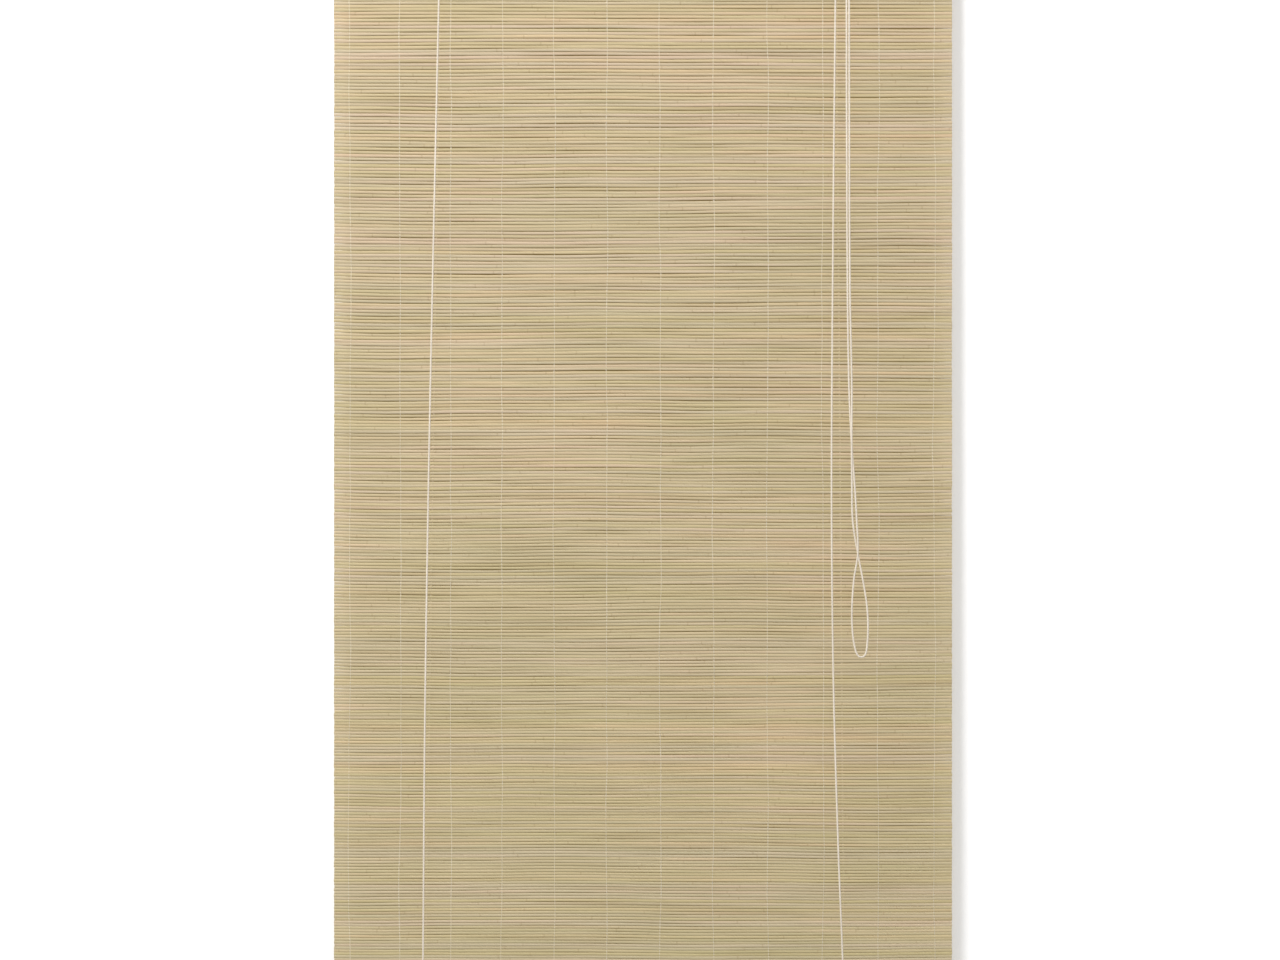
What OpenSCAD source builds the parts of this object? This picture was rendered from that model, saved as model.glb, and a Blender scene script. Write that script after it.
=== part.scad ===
// Bamboo roll up blind: a woven mat of split rods hangs from a head rail and rolls up from below on a cord.
// X runs along the rail, Z points up and the room side faces -Y. The wall is the plane y = 0.
// The origin lies midway between the two hanging holes.

/* [Blind] */
// Width of the mat and of the battens
blind_w = 800; // [600:10:1600]
// Drop from the top of the head rail to the underside of the bottom bar
blind_drop = 1600; // [900:10:2400]

/* [Head rail] */
// Height of the head rail and of the cover strip
rail_h = 30; // [28:1:50]
// Depth of the head rail
rail_t = 20; // [18:1:32]
// Rounding of the head rail's long edges
rail_round = 2; // [0.5:0.5:4]
// Thickness of the cover strip
strip_t = 8.5; // [7.5:0.5:14]
// Rounding of the cover strip's long edges
strip_round = 2.5; // [0.5:0.5:3]
// Radius of the upright cord holes in the head rail
cord_hole_r = 1.9; // [1.6:0.1:3]

/* [Mat] */
// Thickness of a rod, front to back
rod_t = 2.4; // [2:0.1:5]
// Height of a row at the top of the mat
pitch_top = 4.5; // [3:0.1:8]
// Height of a row at the bottom of the mat
pitch_low = 3.7; // [3:0.1:8]
// Thickness of the wall where two rods meet
web_t = 0.9; // [0.6:0.1:1.8]
// Share of a row's height that a rod's flat face takes
face_share = 0.56; // [0.3:0.02:0.8]
// Distance from the top of the head rail to the first row
mat_inset = 2; // [1:0.5:6]
// Length of mat held below the bottom bar's middle
mat_tail = 10; // [6:0.5:11]
// Number of open gaps between rods
gap_count = 80; // [0:1:120]
// Height of an open gap
gap_h = 0.7; // [0.3:0.1:1.2]
// Shortest open gap
gap_len_min = 90; // [40:5:150]
// Longest open gap
gap_len_max = 260; // [160:5:400]
// Closed margin beside an open gap
gap_margin = 12; // [6:1:40]

/* [Warp threads] */
// Number of warps across the mat
warp_count = 12; // [6:1:20]
// Distance from the mat's left edge to the first warp
warp_inset = 20.5; // [10:0.5:40]
// Distance from the mat's right edge to the last warp
warp_end_inset = 23.25; // [10:0.25:40]
// How much wider each bay between warps is than the one before it
warp_spread = 0.75; // [0:0.05:1.5]
// Diameter of a warp thread
thread_d = 0.8; // [0.5:0.1:1.2]

/* [Bottom bar] */
// Radius of the bottom bar
bar_r = 14; // [13:0.5:22]

/* [Hangers] */
// Distance from each end of the head rail to its hanging hole
hanger_inset = 80; // [20:1:120]
// Width of a hanger plate
hanger_w = 16; // [14:1:24]
// Thickness of a hanger plate
hanger_t = 2; // [1.8:0.1:4]
// Radius of a hanging hole
hang_hole_r = 4; // [3:0.25:5]
// Height of the hanging holes above the head rail
hang_rise = 14; // [12:1:24]
// Length of a hanger plate on the head rail
hanger_lap = 26; // [24:1:28]

/* [Pulleys] */
// Distance from the left edge to the left sheave
left_inset = 147; // [80:1:240]
// Distance from the right edge to the right sheaves
right_inset = 143; // [80:1:240]
// Radius from a sheave's axle to the middle of its cord
pitch_r = 7.2; // [6:0.1:10]
// Width of a sheave
sheave_w = 6.2; // [5:0.1:8]
// How far a sheave's rim stands past the cord's middle
rim_rise = 1.4; // [1:0.1:2]
// Radius of the groove
groove_r = 1.5; // [1.4:0.05:2]
// How much the groove opens to each side at the rim
groove_flare = 0.5; // [0.2:0.1:0.8]
// Radius of the axles
axle_r = 1.5; // [1.2:0.1:1.8]
// Thickness of the brackets' sheet
plate_t = 1.2; // [1:0.1:1.6]
// Width of the left bracket
fork_w = 10; // [9:0.5:11]
// Thickness of the spacer between the right sheaves
spacer_t = 0.6; // [0.5:0.1:1]
// Radius of the spacer
spacer_r = 3; // [2.4:0.1:4]

/* [Cord lock] */
// Reach of the lock housing to the left of the sheaves' axle
lock_left = 9.5; // [9:0.5:14]
// Reach of the lock housing to the right of the sheaves' axle
lock_right = 23.5; // [23:0.5:30]
// Height of the lock housing above the sheaves' axle
lock_above = 10; // [9.5:0.5:12]
// Depth of the lock housing below the sheaves' axle
lock_below = 16; // [15:0.5:24]
// Rounding of the lock housing's folds, inside
fold_r = 1.5; // [0.8:0.1:3]
// Distance of the pawl's pin to the right of the axle
pawl_dx = 17; // [16.5:0.1:18]
// Distance of the pawl's pin below the axle
pawl_dz = 6; // [4:0.5:8]
// Reach of the pawl's teeth from its pin
pawl_reach = 8; // [7:0.1:8.2]
// How much less the pawl reaches at its upper tooth
cam_drop = 2.2; // [1:0.1:3]
// Radius of the pawl's boss
boss_r = 3.6; // [3:0.1:4]
// Number of teeth on the pawl
tooth_count = 6; // [3:1:9]
// Depth of a tooth
tooth_d = 0.7; // [0.3:0.1:1]

/* [Fasteners] */
// Radius of a nail's shank
nail_r = 0.8; // [0.6:0.1:1.2]
// Radius of a nail's head
nail_head_r = 2; // [1.5:0.1:3]
// Thickness of a nail's head
nail_head_t = 0.8; // [0.5:0.1:1.2]
// Length of a nail's point
nail_point = 2; // [1:0.5:4]
// How deep a rail nail goes into the head rail
nail_bite = 14; // [10:0.5:16]
// How deep a bar nail goes into the back half of the bar
bar_bite = 8; // [5:0.5:9]
// Radius of a screw's shank
screw_r = 1.3; // [1:0.1:1.6]
// Radius of a screw's head
screw_head_r = 2.6; // [2.2:0.1:3]
// Thickness of a screw's head
screw_head_t = 1.6; // [1:0.1:1.8]
// How deep a bracket screw goes into the cover strip
screw_bite = 6; // [4:0.5:6.5]
// How deep a hanger screw goes into the head rail
hanger_bite = 12; // [8:0.5:14]

/* [Cord] */
// Diameter of the lift cord
cord_d = 2.4; // [1.8:0.1:2.6]
// Radius of a knot
knot_r = 3.8; // [3:0.1:5]

/* [Hidden] */
$fn = 48;

// How far a cut runs past the face it opens
overrun = 1;
// Gap round a shank that sits tight in its hole
snug = 0.02;
// Gap round an axle that turns
running = 0.05;
// Gap between parts that pass each other
side_gap = 0.3;
// Gap between a thread and what it lies on
thread_gap = 0.02;
// Left-over depth at the end of a drilled hole
drill_gap = 0.4;
// How far a flush head lies under its surface
flush_gap = 0.05;
// Room between a sheave's rim and the bend below it
bend_gap = 0.8;
// Corner rounding of the lock housing's back plate
ear_round = 3;
// Distance of a bracket's top below the rail's top
ear_drop = 1.5;

// Heights
rail_top_z = -hang_rise;
rail_mid_z = rail_top_z - rail_h / 2;
rail_low_z = rail_top_z - rail_h;
bar_z = rail_top_z - blind_drop + bar_r;
mat_top_z = rail_top_z - mat_inset;
mat_low_z = bar_z - mat_tail;
mat_h = mat_top_z - mat_low_z;
sheave_z = rail_low_z;
pawl_z = sheave_z - pawl_dz;
ear_top_z = rail_top_z - ear_drop;

// Depths
seat_t = thread_d + 2 * thread_gap;
clamp_half = rod_t / 2 + seat_t;
rail_front_y = -hanger_t - rail_t;
mat_y = rail_front_y - clamp_half;
strip_front_y = mat_y - clamp_half - strip_t;
sheave_y = strip_front_y - plate_t - side_gap - sheave_w / 2;
spacer_back_y = sheave_y - sheave_w / 2 - side_gap;
front_sheave_y = spacer_back_y - spacer_t - side_gap - sheave_w / 2;
fork_gap = sheave_w + 2 * side_gap;
lock_gap = 2 * sheave_w + spacer_t + 4 * side_gap;
cord_back_y = -7.8;

// Places along the rail
left_x = -blind_w / 2 + left_inset;
right_x = blind_w / 2 - right_inset;
pawl_x = right_x + pawl_dx;
left_knot_x = -262;
right_knot_x = 250;
hanger_xs = [-blind_w / 2 + hanger_inset, blind_w / 2 - hanger_inset];
warp_spread_sum = warp_spread * (warp_count - 1) * (warp_count - 2) / 2;
warp_pitch = (blind_w - warp_inset - warp_end_inset - warp_spread_sum) / (warp_count - 1);
warp_xs = [for (i = [0 : warp_count - 1])
    -blind_w / 2 + warp_inset + i * warp_pitch + warp_spread * i * (i - 1) / 2];
nail_xs = [for (i = [0 : 2 : warp_count - 2]) (warp_xs[i] + warp_xs[i + 1]) / 2];

// Rows of the mat, from the top down
rows = floor(2 * mat_h / (pitch_top + pitch_low));
function row_z(i) =
    mat_top_z - mat_h * (pitch_top * i + (pitch_low - pitch_top) * i * i / (2 * rows))
    / (rows * (pitch_top + pitch_low) / 2);
function row_h(i) = row_z(i) - row_z(i + 1);
// Outline of one side of the mat, where side is -1 in front and 1 behind
function rod_side(i, side) = [
    [side * web_t / 2, row_z(i)],
    [side * rod_t / 2, row_z(i) - row_h(i) * (1 - face_share) / 2],
    [side * rod_t / 2, row_z(i) - row_h(i) * (1 + face_share) / 2]];
front_line = [for (i = [0 : rows - 1]) for (p = rod_side(i, -1)) p];
back_line = [for (i = [0 : rows - 1]) for (p = rod_side(i, 1)) p];
low_end = [[-web_t / 2, row_z(rows)], [web_t / 2, row_z(rows)]];
mat_outline = concat(front_line, low_end, [for (k = [len(back_line) - 1 : -1 : 0]) back_line[k]]);
// Rows that carry an open gap, spread over the mat clear of both clamps
gap_first_share = 0.03;
gap_last_share = 0.98;
gap_rows = [for (j = [0 : gap_count - 1])
    round(rows * (gap_first_share + (gap_last_share - gap_first_share) * (j + 0.5) / gap_count))];
gap_len_shares = rands(0, 1, gap_count, 41);
gap_place_shares = rands(-1, 1, gap_count, 17);
gap_lens = [for (s = gap_len_shares) gap_len_min + (gap_len_max - gap_len_min) * s];
gap_xs = [for (j = [0 : gap_count - 1])
    gap_place_shares[j] * (blind_w / 2 - gap_margin - gap_lens[j] / 2)];

// Fasteners
rail_nail_len = strip_t + 2 * clamp_half + nail_bite;
bar_seat_y = mat_y - bar_r + nail_head_t + drill_gap;
bar_nail_len = mat_y + clamp_half + bar_bite - bar_seat_y;
left_screw_shares = [0.18, 0.48];
lock_screw_shares = [-0.33, 0.6];
lock_screw_drop_share = 0.33;
hanger_screw_shares = [0.25, 0.75];
left_screw_zs = [for (s = left_screw_shares) rail_top_z - rail_h * s];
lock_screw_xs = [right_x + lock_left * lock_screw_shares[0], right_x + lock_right * lock_screw_shares[1]];
lock_screw_z = rail_top_z - rail_h * lock_screw_drop_share;
hanger_screw_zs = [for (s = hanger_screw_shares) rail_top_z - hanger_lap * s];
sink_t = hanger_t - screw_r / 2;
// Share of a screw's length before its point, and of a shank's radius at its tip
shank_share = 0.8;
tip_share = 0.25;
// Share of a pan head's radius at its flat top
pan_top_share = 0.7;
// A rivet head's radius and height as shares of its shank's radius
rivet_head_share = 1.7;
rivet_rise_share = 0.6;
// Height of a knot's middle above the rail as a share of its radius
knot_rise_share = 0.7;

// Left front run, from the left sheave to the bar
left_front_route = [
    [-260.2, -39.2, -44], [-263.7, -39.3, -203], [-270.6, -39.5, -514], [-276.9, -39.7, -824],
    [-281.6, -39.9, -1135], [-283.6, -40.1, -1400], [-285, -40.2, -1599.6]];
// Right front run, from the front sheave to the bar
right_front_route = [
    [249.8, -46.6, -44], [247.9, -46, -203], [244.9, -45, -514], [243.1, -44, -824],
    [245.5, -43, -1070], [251.9, -42, -1290], [257.6, -41, -1435], [262, -40.2, -1599.6]];
// Back runs, from the knots through the rail and down to the bar
left_back_route = [[-262, -7.8, -14], [-262, -7.8, -46], [-263, -7.8, -120], [-285, -7.8, -1599.6]];
right_back_route = [[250, -7.8, -14], [250, -7.8, -46], [250.6, -7.8, -120], [262, -7.8, -1599.6]];
// Slings, under the bar from front to back
left_sling_route = [
    [-285, -40.2, -1600], [-285, -38, -1608.1], [-285, -32.1, -1614], [-285, -24, -1616.2],
    [-285, -15.9, -1614], [-285, -10, -1608.1], [-285, -7.8, -1600]];
right_sling_route = [
    [262, -40.2, -1600], [262, -38, -1608.1], [262, -32.1, -1614], [262, -24, -1616.2],
    [262, -15.9, -1614], [262, -10, -1608.1], [262, -7.8, -1600]];
// Cross cord, over the left sheave, along the strip and over the rear sheave
cross_route = [
    [-260.2, -39.2, -44], [-259.7, -39.2, -41.2], [-258.1, -39.2, -38.9], [-255.8, -39.2, -37.3],
    [-253, -39.2, -36.8], [257, -39.2, -36.8], [259.8, -39.2, -37.3], [262.1, -39.2, -38.9],
    [263.7, -39.2, -41.2], [264.2, -39.2, -44]];
// Pull cord, down from the rear sheave, round the loop, up to the front sheave and over it
pull_route = [
    [264.2, -39.2, -44], [263.4, -43.4, -110], [262.4, -43.8, -203], [263.6, -43.6, -560],
    [265.6, -42.8, -690], [269, -40.6, -765], [273, -41.8, -820], [275.6, -42.4, -866],
    [277, -44, -908], [272, -42.8, -942], [269.3, -42.4, -985], [270.6, -42.4, -1014],
    [273.4, -42.4, -1031], [275.8, -42.4, -1038], [278.4, -42.4, -1041.4], [281.6, -42.4, -1042.4],
    [284.8, -42.4, -1041.3], [287.2, -42.4, -1037.8], [289, -42.4, -1028], [290.2, -42.4, -1003],
    [288.6, -42.4, -975], [283, -41.8, -940], [277, -40, -908], [270.4, -42.2, -866],
    [269.4, -42.8, -820], [269, -44.6, -765], [269.2, -43.8, -690], [266.8, -43.8, -560],
    [265.8, -44.2, -203], [265.2, -46.4, -110], [264.2, -46.6, -44], [263.7, -46.6, -41.2],
    [262.1, -46.6, -38.9], [259.8, -46.6, -37.3], [257, -46.6, -36.8], [254.2, -46.6, -37.3],
    [251.9, -46.6, -38.9], [250.3, -46.6, -41.2], [249.8, -46.6, -44]];
cord_sides = 8;
across_y = [0, 1, 0];
across_x = [1, 0, 0];

// Sweep of a round cord along a route, with its rings turned to a fixed side
function unit(v) = v / norm(v);
function heading(route, i) =
    unit(route[min(i + 1, len(route) - 1)] - route[max(i - 1, 0)]);
function ring(p, dir, ref, r) =
    let (u = unit(cross(dir, ref)), v = cross(u, dir))
    [for (k = [0 : cord_sides - 1])
        p + r * (cos(360 * k / cord_sides) * u + sin(360 * k / cord_sides) * v)];
function tube_points(route, ref, r) =
    [for (i = [0 : len(route) - 1]) for (q = ring(route[i], heading(route, i), ref, r)) q];
function tube_faces(n) = concat(
    [[for (k = [0 : cord_sides - 1]) k]],
    [for (i = [0 : n - 2]) for (k = [0 : cord_sides - 1])
        let (a = i * cord_sides + k, b = i * cord_sides + (k + 1) % cord_sides)
        [a, a + cord_sides, b + cord_sides, b]],
    [[for (k = [cord_sides - 1 : -1 : 0]) (n - 1) * cord_sides + k]]);

module cord(route, ref) {
    color("white")
        polyhedron(points = tube_points(route, ref, cord_d / 2), faces = tube_faces(len(route)));
}

// Extrusions along the rail, and from a plane towards the room
module along_x(length) {
    rotate([90, 0, 90])
        linear_extrude(height = length, center = true)
            children();
}

module to_room(y, t) {
    translate([0, y, 0])
        rotate([90, 0, 0])
            linear_extrude(height = t)
                children();
}

module rounded(w, h, r) {
    square([w - 2 * r, h], center = true);
    square([w, h - 2 * r], center = true);
    for (sx = [-1, 1])
        for (sy = [-1, 1])
            translate([sx * (w / 2 - r), sy * (h / 2 - r)])
                circle(r);
}

// A round bar that starts at a point and runs towards the wall
module to_wall(p, r, length) {
    translate(p)
        rotate([-90, 0, 0])
            cylinder(r = r, h = length);
}

module nail(p, length) {
    translate(p)
        rotate([-90, 0, 0]) {
            translate([0, 0, -nail_head_t])
                cylinder(r = nail_head_r, h = nail_head_t);
            cylinder(r = nail_r, h = length - nail_point);
            translate([0, 0, length - nail_point])
                cylinder(r1 = nail_r, r2 = nail_r * tip_share, h = nail_point);
        }
}

module screw_shank(length) {
    cylinder(r = screw_r, h = length * shank_share);
    translate([0, 0, length * shank_share])
        cylinder(r1 = screw_r, r2 = screw_r * tip_share, h = length * (1 - shank_share));
}

module pan_screw(p, length) {
    translate(p)
        rotate([-90, 0, 0]) {
            translate([0, 0, -screw_head_t])
                cylinder(r1 = screw_head_r * pan_top_share, r2 = screw_head_r, h = screw_head_t);
            screw_shank(length);
        }
}

module sunk_screw(p, length) {
    translate(p)
        rotate([90, 0, 0]) {
            cylinder(r1 = screw_head_r, r2 = screw_r, h = sink_t - flush_gap);
            screw_shank(length);
        }
}

// An axle from a bracket's back face to a domed head on its front
module rivet(x, z, gap) {
    front_y = strip_front_y - 2 * plate_t - gap;
    to_wall([x, front_y, z], axle_r, 2 * plate_t + gap - flush_gap);
    translate([x, front_y, z])
        rotate([90, 0, 0])
            cylinder(r1 = axle_r * rivet_head_share, r2 = axle_r, h = axle_r * rivet_rise_share);
}

module head_rail() {
    color("burlywood")
        difference() {
            translate([0, -hanger_t - rail_t / 2, rail_mid_z])
                along_x(blind_w)
                    rounded(rail_t, rail_h, rail_round);
            for (x = [left_knot_x, right_knot_x])
                translate([x, cord_back_y, rail_low_z - overrun])
                    cylinder(r = cord_hole_r, h = rail_h + 2 * overrun);
            for (x = nail_xs)
                to_wall([x, rail_front_y - overrun, rail_mid_z], nail_r + snug,
                        overrun + nail_bite + drill_gap);
            for (x = hanger_xs)
                for (z = hanger_screw_zs)
                    to_wall([x, -hanger_t - hanger_bite - drill_gap, z], screw_r + snug,
                            hanger_bite + drill_gap + overrun);
        }
}

module cover_strip() {
    color("burlywood")
        difference() {
            translate([0, strip_front_y + strip_t / 2, rail_mid_z])
                along_x(blind_w)
                    rounded(strip_t, rail_h, strip_round);
            for (x = nail_xs)
                to_wall([x, strip_front_y - overrun, rail_mid_z], nail_r + snug,
                        strip_t + 2 * overrun);
            for (z = left_screw_zs)
                to_wall([left_x, strip_front_y - overrun, z], screw_r + snug,
                        overrun + screw_bite + drill_gap);
            for (x = lock_screw_xs)
                to_wall([x, strip_front_y - overrun, lock_screw_z], screw_r + snug,
                        overrun + screw_bite + drill_gap);
        }
}

module rail_nails() {
    color("silver")
        for (x = nail_xs)
            nail([x, strip_front_y, rail_mid_z], rail_nail_len);
}

module hanger(x) {
    color("silver")
        difference() {
            translate([x, 0, 0])
                to_room(0, hanger_t)
                    difference() {
                        union() {
                            circle(hanger_w / 2);
                            translate([-hanger_w / 2, rail_top_z - hanger_lap])
                                square([hanger_w, hang_rise + hanger_lap]);
                        }
                        circle(hang_hole_r);
                        for (z = hanger_screw_zs)
                            translate([0, z])
                                circle(screw_r + snug);
                    }
            for (z = hanger_screw_zs)
                translate([x, 0, z])
                    rotate([90, 0, 0])
                        cylinder(r1 = screw_head_r + flush_gap, r2 = screw_r + snug, h = sink_t);
        }
}

module left_hanger() {
    hanger(hanger_xs[0]);
}

module right_hanger() {
    hanger(hanger_xs[1]);
}

module hanger_screws() {
    color("silver")
        for (x = hanger_xs)
            for (z = hanger_screw_zs)
                sunk_screw([x, -flush_gap, z], hanger_t + hanger_bite);
}

// A folded strip: a back plate on the cover strip, a bend below the sheave and a short front plate
module left_bracket() {
    bend_z = sheave_z - pitch_r - rim_rise - bend_gap;
    color("gainsboro") {
        to_room(strip_front_y, plate_t)
            difference() {
                union() {
                    translate([left_x - fork_w / 2, bend_z])
                        square([fork_w, ear_top_z - bend_z - fork_w / 2]);
                    translate([left_x, ear_top_z - fork_w / 2])
                        circle(fork_w / 2);
                }
                translate([left_x, sheave_z])
                    circle(axle_r + snug);
                for (z = left_screw_zs)
                    translate([left_x, z])
                        circle(screw_r + snug);
            }
        to_room(strip_front_y - plate_t - fork_gap, plate_t)
            difference() {
                union() {
                    translate([left_x - fork_w / 2, bend_z])
                        square([fork_w, sheave_z - bend_z]);
                    translate([left_x, sheave_z])
                        circle(fork_w / 2);
                }
                translate([left_x, sheave_z])
                    circle(axle_r + snug);
            }
        translate([left_x, strip_front_y - plate_t - fork_gap / 2, bend_z])
            along_x(fork_w)
                difference() {
                    circle(fork_gap / 2 + plate_t);
                    circle(fork_gap / 2);
                    translate([-fork_gap - plate_t, 0])
                        square([2 * (fork_gap + plate_t), fork_gap + plate_t]);
                }
    }
}

module sheave(x, y) {
    rim_r = pitch_r + rim_rise;
    color("ivory")
        translate([x, y, sheave_z])
            rotate([90, 0, 0])
                rotate_extrude()
                    difference() {
                        translate([axle_r + running, -sheave_w / 2])
                            square([rim_r - axle_r - running, sheave_w]);
                        translate([pitch_r, 0])
                            circle(groove_r);
                        polygon([
                            [pitch_r, -groove_r],
                            [rim_r, -groove_r - groove_flare],
                            [rim_r + overrun, -groove_r - groove_flare],
                            [rim_r + overrun, groove_r + groove_flare],
                            [rim_r, groove_r + groove_flare],
                            [pitch_r, groove_r]]);
                    }
}

module left_sheave() {
    sheave(left_x, sheave_y);
}

module left_axle() {
    color("silver")
        rivet(left_x, sheave_z, fork_gap);
}

module left_screws() {
    color("silver")
        for (z = left_screw_zs)
            pan_screw([left_x, strip_front_y - plate_t, z], plate_t + screw_bite);
}

// A channel that is open to the left, above and below, with a tall back plate for its screws
module channel(grow, reach) {
    x0 = right_x - lock_left;
    x1 = right_x + lock_right - grow;
    y0 = strip_front_y - grow;
    y1 = strip_front_y - 2 * plate_t - lock_gap + grow;
    r = fold_r + plate_t - grow;
    translate([x0 - reach, y1])
        square([x1 - r - x0 + reach, y0 - y1]);
    translate([x0 - reach, y1 + r])
        square([x1 - x0 + reach, y0 - y1 - 2 * r]);
    for (y = [y0 - r, y1 + r])
        translate([x1 - r, y])
            circle(r);
}

module lock_housing() {
    ear_w = lock_left + lock_right - fold_r - plate_t;
    ear_h = ear_top_z - sheave_z + lock_below;
    color("gainsboro")
        difference() {
            union() {
                translate([0, 0, sheave_z - lock_below])
                    linear_extrude(height = lock_above + lock_below)
                        difference() {
                            channel(0, 0);
                            channel(plate_t, overrun);
                        }
                to_room(strip_front_y, plate_t)
                    translate([right_x - lock_left + ear_w / 2, ear_top_z - ear_h / 2])
                        rounded(ear_w, ear_h, ear_round);
            }
            to_wall([right_x, strip_front_y - 2 * plate_t - lock_gap - overrun, sheave_z],
                    axle_r + snug, 2 * plate_t + lock_gap + 2 * overrun);
            to_wall([pawl_x, strip_front_y - 2 * plate_t - lock_gap - overrun, pawl_z],
                    axle_r + snug, 2 * plate_t + lock_gap + 2 * overrun);
            for (x = lock_screw_xs)
                to_wall([x, strip_front_y - plate_t - overrun, lock_screw_z],
                        screw_r + snug, plate_t + 2 * overrun);
        }
}

module rear_sheave() {
    sheave(right_x, sheave_y);
}

module front_sheave() {
    sheave(right_x, front_sheave_y);
}

module sheave_spacer() {
    color("silver")
        difference() {
            to_wall([right_x, spacer_back_y - spacer_t, sheave_z], spacer_r, spacer_t);
            to_wall([right_x, spacer_back_y - spacer_t - overrun, sheave_z], axle_r + snug,
                    spacer_t + 2 * overrun);
        }
}

module right_axle() {
    color("silver")
        rivet(right_x, sheave_z, lock_gap);
}

// A toothed cam whose reach shrinks towards its upper tooth, so that it lets go when it swings down
function cam_point(turn, r) = [-r * cos(turn), r * sin(turn)];

module lock_pawl() {
    low_turn = -12;
    top_turn = 50;
    step_turn = (top_turn - low_turn) / (2 * tooth_count);
    face = [for (k = [2 * tooth_count : -1 : 0])
        let (turn = low_turn + k * step_turn, rise_share = max(0, turn) / top_turn)
        cam_point(turn, pawl_reach - cam_drop * rise_share - (k % 2) * tooth_d)];
    color("goldenrod")
        translate([pawl_x, 0, pawl_z])
            to_room(strip_front_y - plate_t - side_gap, lock_gap - 2 * side_gap)
                difference() {
                    union() {
                        circle(boss_r);
                        polygon(concat([[0, 0]], face));
                    }
                    circle(axle_r + running);
                }
}

module pawl_pin() {
    color("silver")
        rivet(pawl_x, pawl_z, lock_gap);
}

module lock_screws() {
    color("silver")
        for (x = lock_screw_xs)
            pan_screw([x, strip_front_y - plate_t, lock_screw_z], plate_t + screw_bite);
}

// One wall of rods: ridges on both faces, a thin web between rods and open gaps
module bamboo_mat() {
    color("tan")
        difference() {
            translate([0, mat_y, 0])
                along_x(blind_w)
                    polygon(mat_outline);
            for (j = [0 : gap_count - 1])
                translate([gap_xs[j], mat_y, row_z(gap_rows[j])])
                    cube([gap_lens[j], rod_t + overrun, gap_h], center = true);
            for (x = nail_xs)
                for (z = [rail_mid_z, bar_z])
                    to_wall([x, mat_y - rod_t, z], nail_r + snug, 2 * rod_t);
        }
}

module warp_threads() {
    color("cornsilk")
        for (x = warp_xs)
            for (side = [-1, 1])
                translate([x, mat_y + side * (rod_t + thread_d + 2 * thread_gap) / 2, mat_low_z])
                    cylinder(r = thread_d / 2, h = mat_h);
}

// Half of the round bar with its flat against the mat, where side is -1 in front and 1 behind
module half_bar(side) {
    translate([0, mat_y, bar_z])
        along_x(blind_w)
            difference() {
                circle(bar_r);
                translate([side > 0 ? -bar_r - overrun : -clamp_half, -bar_r - overrun])
                    square([bar_r + overrun + clamp_half, 2 * (bar_r + overrun)]);
            }
}

module bar_front() {
    color("burlywood")
        difference() {
            half_bar(-1);
            for (x = nail_xs) {
                to_wall([x, bar_seat_y - bar_r, bar_z], nail_head_r + snug, bar_r);
                to_wall([x, bar_seat_y - overrun, bar_z], nail_r + snug, bar_r + overrun);
            }
        }
}

module bar_back() {
    color("burlywood")
        difference() {
            half_bar(1);
            for (x = nail_xs)
                to_wall([x, mat_y, bar_z], nail_r + snug, clamp_half + bar_bite + drill_gap);
        }
}

module bar_nails() {
    color("silver")
        for (x = nail_xs)
            nail([x, bar_seat_y, bar_z], bar_nail_len);
}

// A knot with a flat seat on top of the rail
module knot(x) {
    color("white")
        translate([x, cord_back_y, rail_top_z])
            difference() {
                translate([0, 0, knot_r * knot_rise_share])
                    sphere(r = knot_r);
                translate([-2 * knot_r, -2 * knot_r, -2 * knot_r])
                    cube([4 * knot_r, 4 * knot_r, 2 * knot_r]);
            }
}

module left_knot() {
    knot(left_knot_x);
}

module right_knot() {
    knot(right_knot_x);
}

module left_back_cord() {
    cord(left_back_route, across_y);
}

module right_back_cord() {
    cord(right_back_route, across_y);
}

module left_sling() {
    cord(left_sling_route, across_x);
}

module right_sling() {
    cord(right_sling_route, across_x);
}

module left_front_cord() {
    cord(left_front_route, across_y);
}

module right_front_cord() {
    cord(right_front_route, across_y);
}

module cross_cord() {
    cord(cross_route, across_y);
}

module pull_cord() {
    cord(pull_route, across_y);
}

head_rail();
cover_strip();
rail_nails();
left_hanger();
right_hanger();
hanger_screws();
left_bracket();
left_sheave();
left_axle();
left_screws();
lock_housing();
rear_sheave();
front_sheave();
sheave_spacer();
right_axle();
lock_pawl();
pawl_pin();
lock_screws();
bamboo_mat();
warp_threads();
bar_front();
bar_back();
bar_nails();
left_knot();
right_knot();
left_back_cord();
right_back_cord();
left_sling();
right_sling();
left_front_cord();
right_front_cord();
cross_cord();
pull_cord();
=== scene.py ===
import math

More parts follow.
